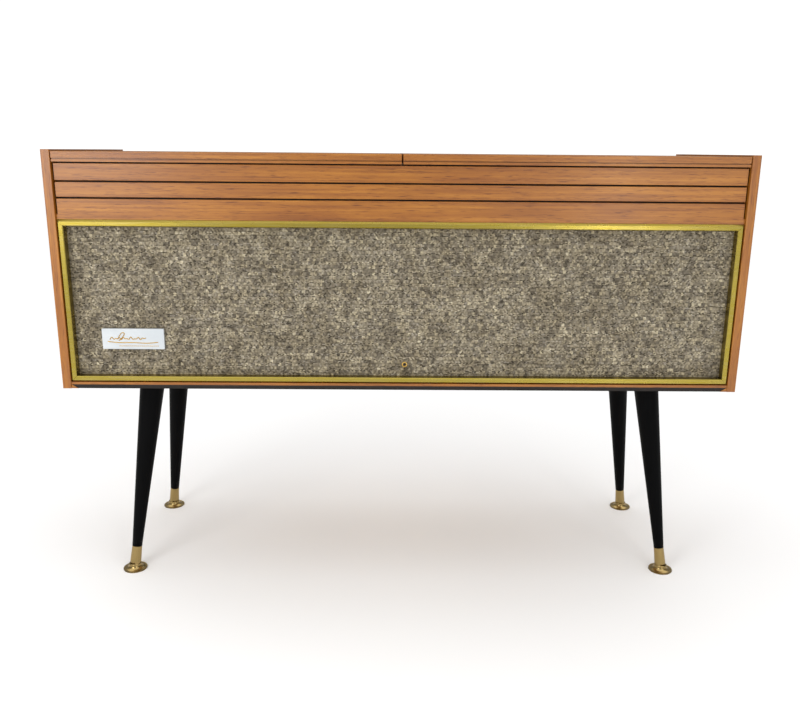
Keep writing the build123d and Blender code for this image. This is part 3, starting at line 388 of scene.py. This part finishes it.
def round_edges(piece, width, segments):
    """Rounds the piece's sharp edges."""
    apply_modifier(piece, "BEVEL", width=width, segments=segments, limit_method="ANGLE", angle_limit=SHARP)


def keep(piece, finish, body, angle=35):
    """Shades a finished piece smooth up to the angle, paints it, and hangs it under its body's empty."""
    only(piece)
    bpy.ops.object.shade_smooth_by_angle(angle=math.radians(angle))
    paint(piece, finish)
    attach(piece, body)
    return piece


def finished_copy(node, arris=0.0):
    """A welded, smooth-shaded copy of a CAD piece, which stands for it, with its sharp edges eased."""
    piece = new_piece(node + "_finished", NODES[node].data.copy())
    only(piece)
    bpy.ops.object.mode_set(mode="EDIT")
    bpy.ops.mesh.select_all(action="SELECT")
    bpy.ops.mesh.remove_doubles(threshold=0.01 * MM)
    bpy.ops.object.mode_set(mode="OBJECT")
    if arris:
        round_edges(piece, arris, 2)
    keep(piece, FINISH_OF[node], BODY_OF[node])
    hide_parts(node)
    return piece


ROUND_PIECES = (
    "legs ferrules feet platter platter_mat spindle idler_wheel motor_pulley drive_motor tonearm_base "
    "tonearm_yoke tonearm speed_knob start_lever record_arm volume_knob tone_knob tuning_knob key_off "
    "key_radio key_phono valves speakers cord_gland back_screws arm_rest player_plate hinge_pins badge"
)
for node_name in ROUND_PIECES.split():
    finished_copy(node_name)
for node_name in "centre_partition transformers cartridge".split():
    finished_copy(node_name, ARRIS)


def ring(name, place, radius, thickness, finish, body, turn=(0, 0, 0)):
    """A ring turned from a disc: its middle is cut out, then it is made thick and its edges are rounded."""
    bpy.ops.object.select_all(action="DESELECT")
    outside = radius + thickness
    bpy.ops.mesh.primitive_circle_add(
        vertices=48, radius=outside, fill_type="NGON", location=place, rotation=turn
    )
    made = bpy.context.object
    made.name = name
    bpy.ops.object.mode_set(mode="EDIT")
    bpy.ops.mesh.select_all(action="SELECT")
    bpy.ops.mesh.inset(thickness=2 * thickness)
    bpy.ops.mesh.delete(type="FACE")
    bpy.ops.object.mode_set(mode="OBJECT")
    apply_place(made)
    apply_modifier(made, "SOLIDIFY", thickness=1.8 * thickness, offset=0.0)
    round_edges(made, 0.6 * thickness, 3)
    keep(made, finish, body, 60)


def slotted_head(radius, height):
    """A domed, slotted head, half of it above the origin: it is copied to each place and then removed."""
    bpy.ops.object.select_all(action="DESELECT")
    bpy.ops.mesh.primitive_cylinder_add(vertices=24, radius=radius, depth=height)
    head = bpy.context.object
    round_edges(head, 0.45 * height, 4)
    bpy.ops.object.select_all(action="DESELECT")
    slot_size = (3 * radius, radius / 4, height / 3)
    bpy.ops.mesh.primitive_cube_add(size=1.0, location=(0, 0, height / 2), scale=slot_size)
    cutter = bpy.context.object
    apply_modifier(head, "BOOLEAN", operation="DIFFERENCE", object=cutter)
    bpy.data.objects.remove(cutter)
    return head


def copied_to(head, name, place, finish, turn):
    """A copy of a small fitting, with its own mesh, at its place on the cabinet."""
    piece = new_piece(name, head.data.copy())
    piece.location = place
    piece.rotation_euler = turn
    apply_place(piece)
    keep(piece, finish, "cabinet", 40)


def lines(name, strokes, finish, thickness, origin, rise_along, body):
    """Raised lines on a face: each stroke is (across, up) points in millimetres from the origin."""
    data = bpy.data.curves.new(name, "CURVE")
    data.dimensions = "3D"
    data.bevel_depth = thickness
    data.bevel_resolution = 1
    data.resolution_u = 6
    data.use_fill_caps = True
    for stroke in strokes:
        spline = data.splines.new("NURBS")
        spline.points.add(len(stroke) - 1)
        for point, (across, rise) in zip(spline.points, stroke):
            point.co = (*(origin + ACROSS * across * MM + rise_along * rise * MM), 1.0)
        spline.use_endpoint_u = True
        spline.order_u = 3
    piece = new_piece(name, data)
    only(piece)
    bpy.ops.object.convert(target="MESH")
    keep(piece, finish, body, 60)


def figures(name, words, size, finish):
    """Flat printed figures on the top of a panel: each is (text, across, back, height), in metres."""
    parts = []
    for text, across, back, height in words:
        data = bpy.data.curves.new(name, "FONT")
        data.body = text
        data.size = size
        data.align_x = "CENTER"
        data.align_y = "CENTER"
        data.extrude = INK_DEPTH
        piece = new_piece(name, data)
        piece.location = (across, back, height)
        only(piece)
        bpy.ops.object.convert(target="MESH")
        apply_place(piece)
        parts.append(piece)
    bpy.ops.object.select_all(action="DESELECT")
    for piece in parts:
        piece.select_set(True)
    bpy.context.view_layer.objects.active = parts[0]
    bpy.ops.object.join()
    keep(parts[0], finish, "cabinet", 30)


def plan_of(node):
    """The middle of a CAD piece seen from above, the height of its top, and its half width."""
    low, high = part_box(node)
    return (low.x + high.x) / 2, (low.y + high.y) / 2, high.z, (high.x - low.x) / 2


# ---- Grille cloth ----------------------------------------------------------------------------------
def grille_cloth():
    """The stretched cloth as a fine grid raised into its staggered floats."""
    low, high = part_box("grille_cloth")
    width, height = high.x - low.x, high.z - low.z
    bpy.ops.object.select_all(action="DESELECT")
    bpy.ops.mesh.primitive_grid_add(
        x_subdivisions=round(width / CLOTH_STEP),
        y_subdivisions=round(height / CLOTH_STEP),
        size=1.0,
        location=((low.x + high.x) / 2, low.y + CLOTH_SET_IN, (low.z + high.z) / 2),
        rotation=(math.radians(90), 0, 0),
    )
    cloth = bpy.context.object
    cloth.name = "grille_cloth_woven"
    cloth.scale = (width, height, 1)
    apply_place(cloth)
    chance = random.Random(7)
    for vertex in cloth.data.vertices:
        across, up = vertex.co.x / WEAVE_CELL, vertex.co.z / WEAVE_ROW
        # Each row of floats starts half a cell aside from the row below.
        weave = math.cos(2 * math.pi * across + math.pi * math.floor(up))
        weave *= math.cos(math.pi * (up % 1.0 - 0.5))
        vertex.co.y -= FLOAT_RISE * weave * (0.75 + 0.5 * chance.random())
    keep(cloth, "tweed", "cabinet", 60)
    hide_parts("grille_cloth")


grille_cloth()


# ---- Badge and cloth pin ---------------------------------------------------------------------------
def badge():
    """On the white plaque: a generic gilt flourish with no letters, and a row of dashes under it."""
    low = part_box("badge")[0]
    face = low - BACK * 0.05 * MM
    wave = []
    for number in range(20):
        swing = 5.5 if number % 2 else -3.0
        wave.append((14 + 3.4 * number, 19 + swing * (0.55 + 0.45 * math.sin(number * 1.3))))
    tail = [(10, 14), (30, 11.5), (55, 12.5), (84, 10.5), (100, 13.0)]
    crest = [(28, 18), (34, 31), (42, 30), (36, 20), (30, 16)]
    dash_pitch, dash_length = 3.6, 2.2
    starts = [30 + dash_pitch * number for number in range(20)]
    dashes = [[(start, 6.0), (start + dash_length, 6.0)] for start in starts]
    lines("badge_flourish", [wave, tail, crest], "gilt", 0.75 * MM, face, UP, "cabinet")
    lines("badge_dashes", dashes, "gilt", 0.6 * MM, face, UP, "cabinet")


badge()


def cloth_pin():
    """A small slotted pin with a brass ring, near the foot of the cloth."""
    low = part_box("grille_cloth")[0]
    place = Vector((7 * MM, low.y, low.z + 32 * MM))
    forward = (math.pi / 2, 0, 0)
    ring("cloth_pin_ring", place, 4.0 * MM, 1.1 * MM, "hinge_brass", "cabinet", forward)
    head = slotted_head(2.6 * MM, 2.4 * MM)
    copied_to(head, "cloth_pin_head", place, "brown_plastic", forward)
    bpy.data.objects.remove(head)


cloth_pin()


def dial_print():
    """The tuning scale: two ruled lines, ticks and plain numbers in cream, on the black scale plate."""
    middle_x, middle_y, top, _ = plan_of("dial_scale")
    face = Vector((middle_x, middle_y, top + 0.02 * MM))
    rule_reach, rule_out = 120, 9
    ticks, tick_pitch, long_tick, short_tick = 21, 11, 4, 2
    strokes = [[(-rule_reach, side * rule_out), (rule_reach, side * rule_out)] for side in (1, -1)]
    for side in (1, -1):
        for number in range(ticks):
            across = tick_pitch * (number - ticks // 2)
            length = short_tick if number % 5 else long_tick
            strokes.append([(across, side * rule_out), (across, side * (rule_out + length))])
    lines("dial_rules", strokes, "dial_ink", 0.25 * MM, face, BACK, "cabinet")
    words = []
    for row_out, numbers in ((19, (55, 70, 90, 120, 160)), (-19, (0, 25, 50, 75, 100))):
        for place, number in enumerate(numbers):
            across = 5 * tick_pitch * (place - 2)
            words.append((str(number), face.x + across * MM, face.y + row_out * MM, face.z))
    figures("dial_numbers", words, 8 * MM, "dial_ink")


def knob_marks():
    """A cream pointer line and a brass ring on each knob's cap, and numbers round two of them."""
    for node in ("volume_knob", "tone_knob", "tuning_knob"):
        middle_x, middle_y, top, half_width = plan_of(node)
        middle = Vector((middle_x, middle_y, top))
        cap_radius = half_width / MM - 2.5
        mark = [[(0, cap_radius * 0.45), (0, cap_radius * 0.85)]]
        lines(node + "_mark", mark, "dial_ink", 0.5 * MM, middle, BACK, BODY_OF[node])
        cap, ring_radius = middle - UP * 0.3 * MM, cap_radius * 0.62 * MM
        ring(node + "_ring", cap, ring_radius, 0.7 * MM, "hinge_brass", BODY_OF[node])
    panel_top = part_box("control_panel")[1].z + PRINT_RISE
    words = []
    first, last, steps = -135, 135, 10  # degrees from the back, clockwise
    for node in ("volume_knob", "tone_knob"):
        middle_x, middle_y, _, half_width = plan_of(node)
        reach = half_width + 6 * MM
        for number in range(steps + 1):
            turn = math.radians(90 - (first + (last - first) * number / steps))
            x, y = middle_x + reach * math.cos(turn), middle_y + reach * math.sin(turn)
            words.append((str(number), x, y, panel_top))
    figures("knob_numbers", words, 5 * MM, "mark_ink")


def player_marks():
    """The record player's speed figures and the plate's four slotted fixing screws."""
    plate_low, plate_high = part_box("player_plate")
    plate_top = plate_low.z + 3 * MM
    middle_x, middle_y, _, _ = plan_of("speed_knob")
    reach = 24 * MM
    words = []
    for number, text in enumerate(("16", "33", "45", "78")):
        turn = math.radians(90 + 30 * number)
        x, y = middle_x + reach * math.cos(turn), middle_y + reach * math.sin(turn)
        words.append((text, x, y, plate_top + PRINT_RISE))
    figures("speed_numbers", words, 6 * MM, "mark_ink")
    head = slotted_head(4.5 * MM, 3.2 * MM)
    set_in = 16 * MM
    for x in (plate_low.x + set_in, plate_high.x - set_in):
        for y in (plate_low.y + set_in, plate_high.y - set_in):
            slot_turn = (0, 0, x * 9 + y * 5)  # no two slots stand alike
            copied_to(head, "player_plate_screw", (x, y, plate_top), "chrome", slot_turn)
    bpy.data.objects.remove(head)


dial_print()
knob_marks()
player_marks()


# ---- Undercut, painted as shade below the bottom rail's lip ----------------------------------------
def bottom_rail():
    """The rail under the grille, painted dark below its lip as the shade of its undercut, between the two
    end stops.
    """
    rail = finished_copy("bottom_rail")
    # The second material slot holds the dark board: painted shade of the undercut below the lip, leaving the
    # end blocks light.
    rail.data.materials.append(FINISHES["dark_board"])
    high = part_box("bottom_rail")[1]
    lip_foot, stop = high.z - 4.6 * MM, high.x - 30 * MM
    for face in rail.data.polygons:
        if face.center.z < lip_foot and abs(face.center.x) < stop:
            face.material_index = 1


bottom_rail()


# ---- Floor, light and camera -----------------------------------------------------------------------
BACKGROUND, AMBIENT = 1.1, 0.27  # what the camera sees behind the floor, and what lights the pieces
# Each soft box: name, place, aim, width, height and power in watts.
SOFT_BOXES = (
    ("key", (-1.25, -1.75, 1.0), (-0.55, -0.19, 0.68), 0.8, 0.7, 14),
    ("fill", (1.5, -1.9, 1.3), (0.55, -0.19, 0.65), 0.7, 0.7, 5),
    ("strip", (1.02, -2.6, 0.75), (0.36, -0.19, 0.74), 0.12, 1.6, 8),
)


def studio():
    """A plain pale floor on a white background, with soft light from above, the left and the right."""
    bpy.ops.object.select_all(action="DESELECT")
    bpy.ops.mesh.primitive_plane_add(size=80.0, location=(0, 0, 0))
    ground = bpy.context.object
    ground.name = "floor"
    pale = linear("#F6F6F6")
    matt = new_material("pale floor", Roughness=1.0, Base_Color=pale, Specular_IOR_Level=0.0)[0]
    ground.data.materials.append(matt)
    world = bpy.data.worlds.new("studio")
    world.use_nodes = True
    tree = world.node_tree
    seen = add_node(tree, "LightPath", {}, "Is Camera Ray")
    glows = {SHARE: seen, UNDER: (AMBIENT,) * 3 + (1,), OVER: (BACKGROUND,) * 3 + (1,)}
    glow = add_node(tree, "Mix", glows, MIXED, data_type="RGBA")
    tree.links.new(glow, tree.nodes["Background"].inputs["Color"])
    bpy.context.scene.world = world
    overhead = bpy.data.lights.new("overhead", "SUN")
    overhead.energy = 2.6
    overhead.angle = math.radians(100)
    new_piece("overhead", overhead)
    for name, place, aim, width, height, power in SOFT_BOXES:
        light = bpy.data.lights.new(name, "AREA")
        light.shape = "RECTANGLE"
        light.size = width
        light.size_y = height
        light.energy = power
        lamp = new_piece(name, light)
        lamp.location = place
        lamp.rotation_euler = (Vector(aim) - Vector(place)).to_track_quat("-Z", "Y").to_euler()
    bpy.context.scene.view_settings.view_transform = "Standard"


def camera():
    """The camera stands a little left of the middle, level with the lids, and looks down at the console."""
    lens = bpy.data.cameras.new("camera")
    lens.sensor_width = 36.0
    lens.lens = 36.63
    eye = new_piece("camera", lens)
    width = cad_bounds[1][0] - cad_bounds[0][0]
    front, top = cad_bounds[0][1], cad_bounds[1][2]
    place = Matrix.Translation((-0.0140 * width, front - 1.162 * width, top + 0.0022 * width))
    down, turn, roll = math.radians(14.43), -0.0110, 0.0087
    pitch = Matrix.Rotation(math.pi / 2 - down, 4, "X")
    eye.matrix_world = place @ Matrix.Rotation(turn, 4, "Z") @ pitch @ Matrix.Rotation(roll, 4, "Z")
    bpy.context.scene.camera = eye


studio()
camera()
